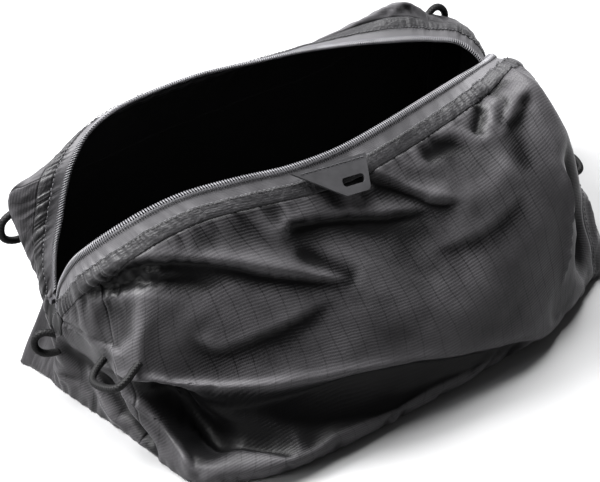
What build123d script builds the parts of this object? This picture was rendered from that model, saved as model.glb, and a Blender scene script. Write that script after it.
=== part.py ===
"""Zippered field pouch: a soft, boxy bag of two fabric shells joined by a U-shaped zip.

Frame: +X along the length, +Z up, -Y towards the bulging front panel.
The origin is the middle of the base, on the surface that the pouch stands on. Millimetres.
"""

import math
import os

from build123d import *

# ---------------------------------------------------------------- driving dimensions
BACK_Y = 78.0  # flat back panel
NOSE_Y = -119.5  # furthest bulge of the front panel
LEFT_X = -153.0  # widest point of the left end
RIGHT_X = 191.0  # widest point of the right end, whose face leans inwards above it
RIGHT_Z = 40.0  # height of that point
BEND_X = 172.0  # the right face bends further inwards here
BEND_Z = 90.0
SHOULDER_X = 127.0  # where that face would meet the top
EAR_Z = 119.0  # height of the folded back corners
RIM_Z = 150.0  # top of the bag
FABRIC = 2.0  # thickness of a panel, with its folds and coating
SEAM_X = 138.0  # end panels start here, on both sides
TOP_SEAM_Z = 104.0  # seam between the back panel and the top gusset

ZIP_Y = 38.0  # line of the zip on the two ends
ZIP_END_Z = 62.0  # lower end of the zip on both ends
SLIT = 1.6  # half the gap between the two coils on the ends
COIL = 2.2  # width of a coil
COIL_OUT = 1.2  # how far a coil stands out from the tape
COIL_IN = 1.0
TAPE_WIDTH = 11.0
TAPE = 1.0  # thickness of the tape
CASING_WIDTH = 8.0
CASING = 2.8  # thickness of the folded casing
ELASTIC_WIDTH = 5.0
ELASTIC = 0.9
STOP_HEIGHT = 3.0  # zip stops, just above the zip's lower ends

CORD = 4.4  # lash loop cord

TAB_WIDTH = 49.0  # hang tab on the front edge of the zip, sewn along its long edge
TAB_DEPTH = 20.0
TAB_THICK = 1.6
TAB_TIP = (-47.7, -36.2, 139.6)  # left end of the sewn edge, on the fabric
TAB_CLEAR = 2.2  # how far the tab lies off the fabric

SLOPE_ARC = ((-38.0, 139.0), (-83.0, 94.0), (NOSE_Y, 44.0))  # front slope, seen from the side
ALL = 440.0  # larger than the bag in every direction
HALF = ALL / 2

# The front right shoulder is cut away by a plane that leans like the right face.
SHOULDER_TURN = 0.367  # how fast it runs outwards towards the back
FACE_LEAN = (RIGHT_X - BEND_X) / (BEND_Z - RIGHT_Z)
SHOULDER_CUT = Plane(origin=(154, -60, 65), x_dir=(SHOULDER_TURN, 1, 0), z_dir=(1, -SHOULDER_TURN, FACE_LEAN))

os.makedirs("parts", exist_ok=True)
made = []


def write(shape, name):
    """Labels a finished piece and writes it to its own file."""
    shape.label = name
    export_step(shape, f"parts/{name}.step")
    made.append(name)


# ---------------------------------------------------------------- outlines of the bag
def bag_solid(inset):
    """The filled bag pulled in by inset: its plan, side and front outlines, intersected."""
    with BuildPart() as bag:
        with BuildSketch(Plane.XY.offset(-ALL / 2)):
            with BuildLine():
                FilletPolyline(
                    (LEFT_X - 8, BACK_Y),
                    (LEFT_X - 8, -60),
                    (-147, -84),
                    (-102, -115),
                    (-22, NOSE_Y - 3),
                    (52, NOSE_Y - 3),
                    (113, -109),
                    (164, -81),
                    (RIGHT_X + 20, -58),
                    (RIGHT_X + 20, BACK_Y),
                    radius=20,
                )
                Line((RIGHT_X + 20, BACK_Y), (LEFT_X - 8, BACK_Y))
            make_face()
            if inset:
                offset(amount=-inset, kind=Kind.INTERSECTION)
        extrude(amount=ALL)
        with BuildSketch(Plane.YZ.offset(-ALL / 2)):
            with BuildLine():
                Polyline((-108, 0), (BACK_Y, 0), (BACK_Y, EAR_Z), (58, RIM_Z), (-20, RIM_Z - 3), (-38, 139))
                ThreePointArc(*SLOPE_ARC)
                Line((NOSE_Y, 44), (-108, 0))
            make_face()
            fillet(vertices().group_by(Axis.Y)[-1], radius=16)
            if inset:
                offset(amount=-inset, kind=Kind.INTERSECTION)
        extrude(amount=ALL, mode=Mode.INTERSECT)
        with BuildSketch(Plane.XZ.offset(-ALL / 2)):
            with BuildLine():
                Polyline(
                    (-147, 0),
                    (165, 0),
                    (RIGHT_X, RIGHT_Z),
                    (BEND_X, BEND_Z),
                    (SHOULDER_X, 135),
                    (-143, RIM_Z + 1),
                    (LEFT_X, 60),
                    close=True,
                )
            make_face()
            fillet(vertices().sort_by(Axis.Y)[-2:], radius=25)
            if inset:
                offset(amount=-inset, kind=Kind.INTERSECTION)
        extrude(amount=ALL, mode=Mode.INTERSECT)
        with BuildSketch(SHOULDER_CUT.offset(-inset)):
            Rectangle(ALL, ALL)
        extrude(amount=HALF, mode=Mode.SUBTRACT)
    return bag.part


def mouth(grow):
    """The zip's opening seen from above, grown sideways by grow, from the zip's ends upwards."""
    with BuildPart() as opening:
        with BuildSketch(Plane.XY.offset(ZIP_END_Z)):
            with BuildLine():
                FilletPolyline(
                    (-190, ZIP_Y - SLIT),
                    (-141, ZIP_Y - SLIT),
                    (-117, -12),
                    (0, -34),
                    (118, -22),
                    (164, ZIP_Y - SLIT),
                    (HALF, ZIP_Y - SLIT),
                    radius=12,
                )
                Line((HALF, ZIP_Y - SLIT), (HALF, ZIP_Y + SLIT))
                FilletPolyline(
                    (HALF, ZIP_Y + SLIT),
                    (166, ZIP_Y + SLIT),
                    (140, 50),
                    (-20, 53.4),
                    (-112, 53.4),
                    (-141, ZIP_Y + SLIT),
                    (-190, ZIP_Y + SLIT),
                    radius=12,
                )
                Line((-190, ZIP_Y + SLIT), (-190, ZIP_Y - SLIT))
            make_face()
            if grow:
                offset(amount=grow, kind=Kind.INTERSECTION)
        extrude(amount=ALL)
    return opening.part


def block(x, y, z):
    """A box between the given limits, each a pair."""
    size = (x[1] - x[0], y[1] - y[0], z[1] - z[0])
    middle = ((x[0] + x[1]) / 2, (y[0] + y[1]) / 2, (z[0] + z[1]) / 2)
    with BuildPart() as piece:
        with Locations(middle):
            Box(*size)
    return piece.part


OUTER = bag_solid(0)
SKIN = OUTER - bag_solid(FABRIC)
MOUTH = mouth(0)
COIL_EDGE = mouth(COIL)
TAPE_EDGE = mouth(COIL + TAPE_WIDTH)
CASING_EDGE = mouth(COIL + TAPE_WIDTH + CASING_WIDTH)
IN_FRONT = block((-HALF, HALF), (-HALF, ZIP_Y), (-HALF, HALF))
BEHIND = block((-HALF, HALF), (ZIP_Y, HALF), (-HALF, HALF))


# ---------------------------------------------------------------- panels
walls = SKIN - CASING_EDGE
between = block((-SEAM_X, SEAM_X), (-HALF, HALF), (-HALF, HALF))
above_floor = block((-HALF, HALF), (-HALF, HALF), (FABRIC, HALF))
middle = walls & between

with BuildPart() as left_end_panel:
    add(walls)
    add(block((-SEAM_X, HALF), (-HALF, HALF), (-HALF, HALF)), mode=Mode.SUBTRACT)
write(left_end_panel.part, "left_end_panel")

with BuildPart() as right_end_panel:
    add(walls)
    add(block((-HALF, SEAM_X), (-HALF, HALF), (-HALF, HALF)), mode=Mode.SUBTRACT)
write(right_end_panel.part, "right_end_panel")

with BuildPart() as base_panel:
    add(middle)
    add(above_floor, mode=Mode.SUBTRACT)
write(base_panel.part, "base_panel")

with BuildPart() as front_panel:
    add(middle)
    add(above_floor, mode=Mode.INTERSECT)
    add(IN_FRONT, mode=Mode.INTERSECT)
write(front_panel.part, "front_panel")

with BuildPart() as back_panel:
    add(middle)
    add(above_floor, mode=Mode.INTERSECT)
    add(BEHIND, mode=Mode.INTERSECT)
    add(block((-HALF, HALF), (-HALF, HALF), (TOP_SEAM_Z, HALF)), mode=Mode.SUBTRACT)
write(back_panel.part, "back_panel")

with BuildPart() as top_back_panel:
    add(middle)
    add(BEHIND, mode=Mode.INTERSECT)
    add(block((-HALF, HALF), (-HALF, HALF), (TOP_SEAM_Z, HALF)), mode=Mode.INTERSECT)
write(top_back_panel.part, "top_back_panel")


# ---------------------------------------------------------------- zip: tapes, casings, elastic, coils
tape_skin = OUTER - bag_solid(TAPE)
casing_skin = OUTER - bag_solid(CASING)
elastic_skin = bag_solid((CASING - ELASTIC) / 2) - bag_solid((CASING + ELASTIC) / 2)
coil_skin = bag_solid(-COIL_OUT) - bag_solid(COIL_IN)
SIDE = (CASING_WIDTH - ELASTIC_WIDTH) / 2
elastic_band = mouth(COIL + TAPE_WIDTH + SIDE + ELASTIC_WIDTH) - mouth(COIL + TAPE_WIDTH + SIDE)
stop_zone = block((-HALF, HALF), (-HALF, HALF), (ZIP_END_Z, ZIP_END_Z + STOP_HEIGHT))

tape_band = tape_skin & (TAPE_EDGE - COIL_EDGE)
casing_band = (casing_skin & (CASING_EDGE - TAPE_EDGE)) - (elastic_skin & elastic_band)
elastic = elastic_skin & elastic_band
coil_band = (coil_skin & (COIL_EDGE - MOUTH)) - stop_zone

for side_name, side in (("front", IN_FRONT), ("back", BEHIND)):
    for band_name, band in (
        ("zip_tape", tape_band),
        ("zip_casing", casing_band),
        ("casing_elastic", elastic),
        ("zip_coil", coil_band),
    ):
        with BuildPart() as strip:
            add(band)
            add(side, mode=Mode.INTERSECT)
        write(strip.part, f"{band_name}_{side_name}")

with BuildPart() as zip_top_stops:
    add(coil_skin & (COIL_EDGE - MOUTH) & stop_zone)
    add(block((0, HALF), (-HALF, HALF), (-HALF, HALF)), mode=Mode.SUBTRACT)
write(zip_top_stops.part, "zip_top_stops")

with BuildPart() as zip_bottom_stop:
    add(coil_skin & COIL_EDGE & stop_zone)
    add(block((-HALF, 0), (-HALF, HALF), (-HALF, HALF)), mode=Mode.SUBTRACT)
write(zip_bottom_stop.part, "zip_bottom_stop")

# ---------------------------------------------------------------- fabric covers over the zip's ends
cover_skin = bag_solid(-1.4) - OUTER
for name, cover_x in (("zip_garage_left", (-HALF, 0)), ("zip_garage_right", (0, HALF))):
    with BuildPart() as garage:
        add(cover_skin)
        add(
            block(cover_x, (ZIP_Y - 9, ZIP_Y + 9), (ZIP_END_Z - 17, ZIP_END_Z)),
            mode=Mode.INTERSECT,
        )
    write(garage.part, name)

# ---------------------------------------------------------------- slider, on the right end face
slope = math.atan(FACE_LEAN)  # how far the right end face leans inwards
PARK_Z = ZIP_END_Z + 8.6  # slider resting just above the bottom stop
PARK_X = RIGHT_X - (PARK_Z - RIGHT_Z) * FACE_LEAN
face = Plane(
    origin=(PARK_X, ZIP_Y, PARK_Z),
    x_dir=(0, 1, 0),
    z_dir=(math.cos(slope), 0, math.sin(slope)),
)
CLEAR = 0.35
coil_edge = SLIT + COIL
plate_z = COIL_OUT + CLEAR
PLATE = 1.1  # thickness of the slider's two plates

with BuildPart() as slider_body:
    for plate_height in (plate_z, -TAPE - CLEAR - PLATE):
        with BuildSketch(face.offset(plate_height)):
            with BuildLine():
                Polyline((-2.9, -5.2), (2.9, -5.2), (5.4, -2.0), (5.4, 4.0), (4.0, 5.4))
                Polyline((4.0, 5.4), (-4.0, 5.4), (-5.4, 4.0), (-5.4, -2.0), (-2.9, -5.2))
            make_face()
            fillet(vertices(), radius=0.8)
        extrude(amount=PLATE)
    with BuildSketch(face.offset(-TAPE - CLEAR)):
        with Locations((0, 2.2)):
            SlotOverall(5.0, 2.3, rotation=90)
    extrude(amount=TAPE + CLEAR + plate_z)
    with BuildSketch(face.offset(CLEAR)):
        with Locations((-coil_edge - CLEAR - PLATE / 2, 1.0), (coil_edge + CLEAR + PLATE / 2, 1.0)):
            Rectangle(PLATE, 6.0)
    extrude(amount=plate_z - CLEAR)
write(slider_body.part, "slider_body")

crown_base = plate_z + PLATE
with BuildPart() as slider_crown:
    with BuildSketch(Plane(origin=face.origin, x_dir=face.y_dir, z_dir=face.x_dir).offset(-1.2)):
        with BuildLine():
            Polyline((-3.8, crown_base), (-3.8, crown_base + 2.6), (-2.6, crown_base + 3.8))
            Polyline((-2.6, crown_base + 3.8), (2.6, crown_base + 3.8), (3.8, crown_base + 2.6))
            Polyline((3.8, crown_base + 2.6), (3.8, crown_base), (2.7, crown_base))
            Polyline((2.7, crown_base), (2.7, crown_base + 2.7), (-2.7, crown_base + 2.7))
            Polyline((-2.7, crown_base + 2.7), (-2.7, crown_base), (-3.8, crown_base))
        make_face()
    extrude(amount=2.4)
write(slider_crown.part, "slider_crown")

PULL_AXIS = crown_base + 1.35  # height of the pull's bar, inside the crown
BAR_Y = 1.2  # its place along the slider
with BuildPart() as pull_tab:
    with BuildSketch(face.offset(PULL_AXIS - 0.7)):
        with Locations((0, BAR_Y + 0.7 - 12.0)):
            SlotOverall(24.0, 8.4, rotation=90)
        with Locations((0, BAR_Y - 3.9)):
            RectangleRounded(3.4, 6.5, 0.5, mode=Mode.SUBTRACT)
        with Locations((0, -15.5)):
            SlotOverall(9.0, 3.6, rotation=90, mode=Mode.SUBTRACT)
    extrude(amount=1.4)
write(pull_tab.part, "pull_tab")


# ---------------------------------------------------------------- hang tab, hinged on the front casing
tab_along = Vector(0.9899, -0.102, -0.1)
tab_out = Vector(0, -0.7, 0.714)
tab_plane = Plane(origin=Vector(*TAB_TIP) + tab_out * TAB_CLEAR, x_dir=tab_along, z_dir=tab_out)
with BuildPart() as hang_tab:
    with BuildSketch(tab_plane):
        with BuildLine():
            Polyline(
                (0, 0),
                (TAB_WIDTH, 0),
                (TAB_WIDTH - 5, -TAB_DEPTH),
                (TAB_WIDTH - 21, -TAB_DEPTH),
                close=True,
            )
        make_face()
        fillet(vertices().group_by(Axis.Y)[0], radius=3)
        with Locations((TAB_WIDTH - 13.5, -TAB_DEPTH + 7.4)):
            RectangleRounded(14.5, 5.0, 2.0, mode=Mode.SUBTRACT)
    extrude(amount=TAB_THICK)
write(hang_tab.part, "hang_tab")

with BuildPart() as hang_tab_stitching:
    with BuildSketch(tab_plane.offset(TAB_THICK)):
        with Locations(((TAB_WIDTH + 3) / 2, -1.6)):
            with GridLocations(2.8, 1, 15, 1):
                SlotOverall(2.0, 0.6)
    extrude(amount=0.3)
write(hang_tab_stitching.part, "hang_tab_stitching")


# ---------------------------------------------------------------- lash loops of cord
def lash_loop(name, foot, along, out, gap, legs=9.0, wide=9.5):
    """A half ring of cord whose two legs leave the seam at foot, side by side along the seam."""
    plane = Plane(origin=foot, x_dir=along, z_dir=Vector(*along).cross(Vector(*out)).normalized())
    bends = (
        (-legs, gap),
        (-wide, gap + 7.6),
        (-wide + 4.5, gap + 14.6),
        (wide - 4.5, gap + 14.6),
        (wide, gap + 7.6),
        (legs, gap),
    )
    route = [plane.from_local_coords((u, v, 0)) for u, v in bends]
    with BuildPart() as loop:
        with BuildLine() as path:
            FilletPolyline(*route, radius=6.6)
        start = path.line @ 0
        with BuildSketch(Plane(origin=start, z_dir=path.line % 0)):
            Circle(CORD / 2)
        sweep()
    write(loop.part, name)
    length = sum(edge.length for edge in path.edges())
    points = ", ".join(f"({p.X:.1f}, {p.Y:.1f}, {p.Z:.1f})" for p in route)
    print(f"{name}: radius 6.6, length {length:.1f}, through {points}")


lash_loop("loop_back_left", (-149.6, BACK_Y - 1, 93), (0, 0, 1), (-1, 0.15, 0), 2.4)
lash_loop("loop_back_right", (164, BACK_Y - 1, 98), (-1, 0, 1), (0.7, 0.08, 0.7), 2.4)
lash_loop("loop_side_left", (-150.9, 38, 37), (0.06, 0, 1), (-0.8, 0.6, 0), 4.2, legs=5.0, wide=8.6)
lash_loop("loop_side_right", (184.5, 38, 30), (0.65, 0, 1), (0.75, 0.5, -0.45), 4.2, legs=5.0, wide=8.6)
lash_loop("loop_front_left", (-152, -14.5, 50.5), (0, 0.93, -0.37), (-1, -0.2, -0.54), 3, legs=15.5, wide=16)
lash_loop("loop_front_right", (172, -30, 46), (SHOULDER_TURN, 1, 0), (1, -0.2, 0), 3.4, legs=12.0, wide=12.5)

hinge = tab_plane.origin + tab_out * TAB_THICK / 2
pull = face.from_local_coords((0, BAR_Y, PULL_AXIS))
print(f"hang tab hinge {hinge.X:.2f} {hinge.Y:.2f} {hinge.Z:.2f}")
print(f"pull hinge {pull.X:.2f} {pull.Y:.2f} {pull.Z:.2f}")
print(f"slider way {face.y_dir.X:.4f} {face.y_dir.Y:.4f} {face.y_dir.Z:.4f}")
print(len(made), "pieces")
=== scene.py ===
"""The look of a zippered field pouch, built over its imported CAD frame.

The bag is one loop of fabric, drawn as sections from the zip's edge down to the floor. It is folded,
gathered on its elastic and slackened by a short cloth simulation, and is then cut into its sewn panels.
Frame: +X along the bag, +Z up, -Y towards the bulging front. Lengths are millimetres unless said.
"""

import math

import bpy
import numpy as np
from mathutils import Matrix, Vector
from mathutils.bvhtree import BVHTree


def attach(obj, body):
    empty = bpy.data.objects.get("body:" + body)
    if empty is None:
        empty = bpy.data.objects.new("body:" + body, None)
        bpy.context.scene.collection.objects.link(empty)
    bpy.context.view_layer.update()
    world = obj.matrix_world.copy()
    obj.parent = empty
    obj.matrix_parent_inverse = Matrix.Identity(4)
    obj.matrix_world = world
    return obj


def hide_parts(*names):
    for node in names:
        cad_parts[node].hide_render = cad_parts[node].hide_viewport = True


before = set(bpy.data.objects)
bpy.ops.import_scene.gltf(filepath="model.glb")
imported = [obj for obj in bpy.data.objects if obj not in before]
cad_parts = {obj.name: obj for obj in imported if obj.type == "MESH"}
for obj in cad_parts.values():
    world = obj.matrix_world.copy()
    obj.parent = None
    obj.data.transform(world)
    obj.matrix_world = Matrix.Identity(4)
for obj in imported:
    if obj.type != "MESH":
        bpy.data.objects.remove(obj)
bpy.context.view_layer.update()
scene = bpy.context.scene
MM = 0.001

# ---------- the camera
AZIMUTH, ELEVATION, DISTANCE = math.radians(-41), math.radians(38), 1.373
BACK_DIR = Vector(
    (
        math.sin(AZIMUTH) * math.cos(ELEVATION),
        -math.cos(AZIMUTH) * math.cos(ELEVATION),
        math.sin(ELEVATION),
    )
)
RIGHT_DIR = Vector((math.cos(AZIMUTH), math.sin(AZIMUTH), 0))
UP_DIR = BACK_DIR.cross(RIGHT_DIR)
lens = bpy.data.cameras.new("camera")
lens.lens, lens.sensor_width, lens.clip_end = 140, 36, 20
camera = bpy.data.objects.new("camera", lens)
camera.location = BACK_DIR * DISTANCE
aim = RIGHT_DIR * -0.0065 + UP_DIR * 0.0435
camera.rotation_euler = (camera.location - aim).to_track_quat("Z", "Y").to_euler()
scene.collection.objects.link(camera)
scene.camera = camera

# ---------- the outer shell, as sections
# Each row is one section of the fabric, from the zip's edge down to the floor, in millimetres.
# FRONT walks from the left zip end round the front to the right zip end, BACK returns behind.
FRONT = [
    [(-150, 41, 62), (-151, 42, 52), (-152, 42, 41), (-152, 42, 30), (-152, 42, 18), (-152, 42, 8),
     (-152, 42, 0)],
    [(-149, 36, 77), (-153, 29, 62), (-154, 25, 50), (-152, 22, 36), (-149, 20, 24), (-150, 18, 10),
     (-150, 18, 0)],
    [(-147, 26, 95), (-150, 12, 80), (-153, 4, 62), (-153, -4, 50), (-148, -8, 30), (-148, -12, 10),
     (-147, -12, 0)],
    [(-142, 13, 111), (-141, -4, 98), (-146, -18, 76), (-150, -30, 52), (-146, -34, 30), (-148, -41, 10),
     (-147, -41, 0)],
    [(-132, 2, 124), (-129, -16, 111), (-134, -34, 84), (-136, -47, 50), (-138, -56, 32),
     (-143, -69, 12), (-143, -72, 0)],
    [(-117, -6, 133), (-112, -24, 120), (-114, -48, 90), (-114, -66, 52), (-120, -78, 34),
     (-124, -90, 14), (-124, -86, 0)],
    [(-98, -14, 139), (-92, -34, 123), (-92, -62, 94), (-90, -84, 54), (-96, -94, 34), (-100, -106, 14),
     (-98, -96, 0)],
    [(-72, -25, 142), (-66, -44, 123), (-64, -74, 92), (-60, -100, 52), (-64, -104, 34), (-68, -112, 14),
     (-66, -100, 0)],
    [(-44, -33, 141), (-38, -52, 120), (-34, -80, 90), (-30, -106, 52), (-32, -110, 32), (-34, -115, 13),
     (-32, -101, 0)],
    [(-12, -36, 140), (-8, -55, 118), (-4, -82, 90), (0, -109, 56), (0, -115, 32), (0, -117, 13),
     (0, -102, 0)],
    [(22, -34, 140), (24, -54, 120), (26, -80, 98), (30, -108, 64), (32, -116, 36), (32, -118, 13),
     (32, -102, 0)],
    [(56, -29, 139), (57, -49, 124), (58, -74, 106), (62, -104, 72), (64, -115, 40), (64, -117, 13),
     (62, -102, 0)],
    [(88, -24, 138), (88, -45, 129), (88, -68, 116), (92, -96, 82), (94, -108, 44), (94, -110, 13),
     (92, -98, 0)],
    [(112, -20, 137), (117, -42, 138), (122, -62, 131), (130, -82, 98), (126, -95, 50), (123, -102, 14),
     (120, -94, 0)],
    [(130, -10, 130), (141, -26, 124), (147, -42, 107), (153, -62, 73), (150, -80, 42), (147, -88, 13),
     (144, -86, 0)],
    [(147, 5, 117), (155, -7, 107), (162, -21, 88), (168, -41, 61), (168, -58, 36), (166, -76, 10),
     (163, -79, 0)],
    [(162, 22, 102), (168, 13, 92), (176, 4, 78), (180, -8, 56), (178, -18, 34), (172, -26, 12),
     (168, -30, 0)],
    [(173.2, 35.2, 87), (177, 28, 77), (181, 22, 66), (185, 16, 50), (184, 10, 32), (176, 6, 12),
     (172, 2, 0)],
]
BACK = [
    [(182.6, 38, 62), (186, 37, 53), (189, 36, 44), (189, 34, 32), (184, 32, 18), (178, 30, 8), (174, 28, 0)],
    [(173.2, 40.8, 87), (181, 49, 88), (188, 56, 82), (191, 62, 66), (188, 62, 40), (178, 60, 14),
     (173, 58, 0)],
    [(163, 50, 99), (172, 60, 101), (181, 69, 97), (185, 77, 90), (186, 78, 58), (177, 78, 22), (170, 76, 0)],
    [(144, 54, 107), (151, 64, 109), (157, 72, 109), (163, 78, 106), (164, 80, 68), (161, 79, 28),
     (158, 78, 0)],
    [(124, 56, 114), (128, 66, 118), (132, 73, 121), (137, 78, 124), (138, 80, 80), (138, 80, 30),
     (138, 78, 0)],
    [(84, 58, 126), (86, 67, 126), (88, 73, 124), (90, 78, 122.5), (90, 80.5, 80), (90, 80, 30), (90, 78, 0)],
    [(44, 58, 137), (44, 66, 134), (44, 73, 129), (44, 78, 121), (44, 81, 80), (44, 80, 30), (44, 78, 0)],
    [(6, 59, 144), (5, 67, 139), (5, 74, 131), (4, 78, 120), (4, 81, 80), (4, 80, 30), (4, 78, 0)],
    [(-30, 62, 149), (-32, 69, 143), (-34, 75, 133), (-35, 78, 119), (-35, 81, 80), (-35, 80, 30),
     (-35, 78, 0)],
    [(-64, 64, 150), (-68, 71, 144), (-71, 76, 133), (-74, 78, 117), (-74, 81, 80), (-74, 80, 30),
     (-74, 78, 0)],
    [(-88, 66, 147), (-95, 72, 141), (-101, 76, 131), (-108, 78, 116), (-110, 80.5, 78), (-110, 80, 30),
     (-110, 78, 0)],
    [(-106, 66, 139), (-116, 72, 132), (-125, 76, 124), (-134, 78, 115), (-130, 80, 76), (-132, 79, 30),
     (-138, 78, 0)],
    [(-119, 63, 127), (-132, 69, 122), (-143, 74, 118), (-151, 78, 114), (-146, 78, 84), (-131, 77, 48),
     (-154, 76, 0)],
    [(-127, 60, 114), (-138, 64, 109), (-147, 68, 103), (-151, 73, 96), (-144, 71, 72), (-134, 69, 40),
     (-153, 68, 0)],
    [(-134, 56, 100), (-143, 60, 95), (-149, 63, 88), (-150, 65, 78), (-143, 62, 56), (-138, 60, 28),
     (-152, 60, 0)],
    [(-143, 50, 84), (-149, 52, 77), (-151, 54, 69), (-150, 55, 60), (-147, 53, 42), (-146, 51, 20),
     (-151, 51, 0)],
]
LAST_FRONT = len(FRONT)  # section number of the right zip end
SECTIONS = np.array(FRONT + BACK, float)

TAPE_MM, CASING_MM = 9.0, 18.0  # rows of fabric measured down from the zip's edge
COLUMNS, TAPE_ROWS, CASING_ROWS, PANEL_ROWS = 544, 7, 11, 86


def catmull(points, count, closed=False):
    """A smooth curve through points along axis 0, sampled at count even parameter steps."""
    n = len(points)
    if closed:
        ext = np.concatenate([points[-1:], points, points[:2]])
        t = np.arange(count) * n / count
    else:
        first, last = 2 * points[:1] - points[1:2], 2 * points[-1:] - points[-2:-1]
        ext = np.concatenate([first, points, last])
        t = np.linspace(0, n - 1 - 1e-9, count)
    i = np.floor(t).astype(int)
    f = (t - i).reshape((-1,) + (1,) * (points.ndim - 1))
    a, b, c, d = ext[i], ext[i + 1], ext[i + 2], ext[i + 3]
    return 0.5 * (2 * b + (c - a) * f + (2 * a - 5 * b + 4 * c - d) * f**2 + (3 * b - a - 3 * c + d) * f**3)


def column_rows(length):
    """Distances down one section, in millimetres: tape, casing, then the panel to the floor."""
    tape = np.linspace(0, TAPE_MM, TAPE_ROWS)
    casing = np.linspace(TAPE_MM, CASING_MM, CASING_ROWS)[1:]
    panel = np.linspace(CASING_MM, length, PANEL_ROWS)[1:]
    return np.concatenate([tape, casing, panel])


def build_grid():
    """Points of the shell (columns, rows, 3), with the distances along and down it."""
    fine = catmull(np.moveaxis(SECTIONS, 1, 0), 73)  # (down, section, 3)
    fine = catmull(np.moveaxis(fine, 0, 1), COLUMNS, closed=True)  # (column, down, 3)
    points, down = [], []
    for line in fine:
        step = np.linalg.norm(np.diff(line, axis=0), axis=1)
        run = np.concatenate([[0], np.cumsum(step)])
        rows = column_rows(run[-1])
        points.append(np.stack([np.interp(rows, run, line[:, k]) for k in range(3)], axis=1))
        down.append(rows)
    points, down = np.array(points), np.array(down)
    middle = points[:, TAPE_ROWS + CASING_ROWS + 20]
    step = np.linalg.norm(np.roll(middle, -1, axis=0) - middle, axis=1)
    along = np.concatenate([[0], np.cumsum(step)[:-1]])
    return points, down, np.repeat(along[:, None], points.shape[1], axis=1)


def grid_normals(points):
    """Outward normals of the closed grid."""
    du = np.roll(points, -1, axis=0) - np.roll(points, 1, axis=0)
    dv = np.gradient(points, axis=1)
    n = np.cross(dv, du)
    n /= np.linalg.norm(n, axis=2, keepdims=True) + 1e-12
    centre = points.mean(axis=(0, 1))
    if np.sum(n * (points - centre)) < 0:
        n = -n
    return n


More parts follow.
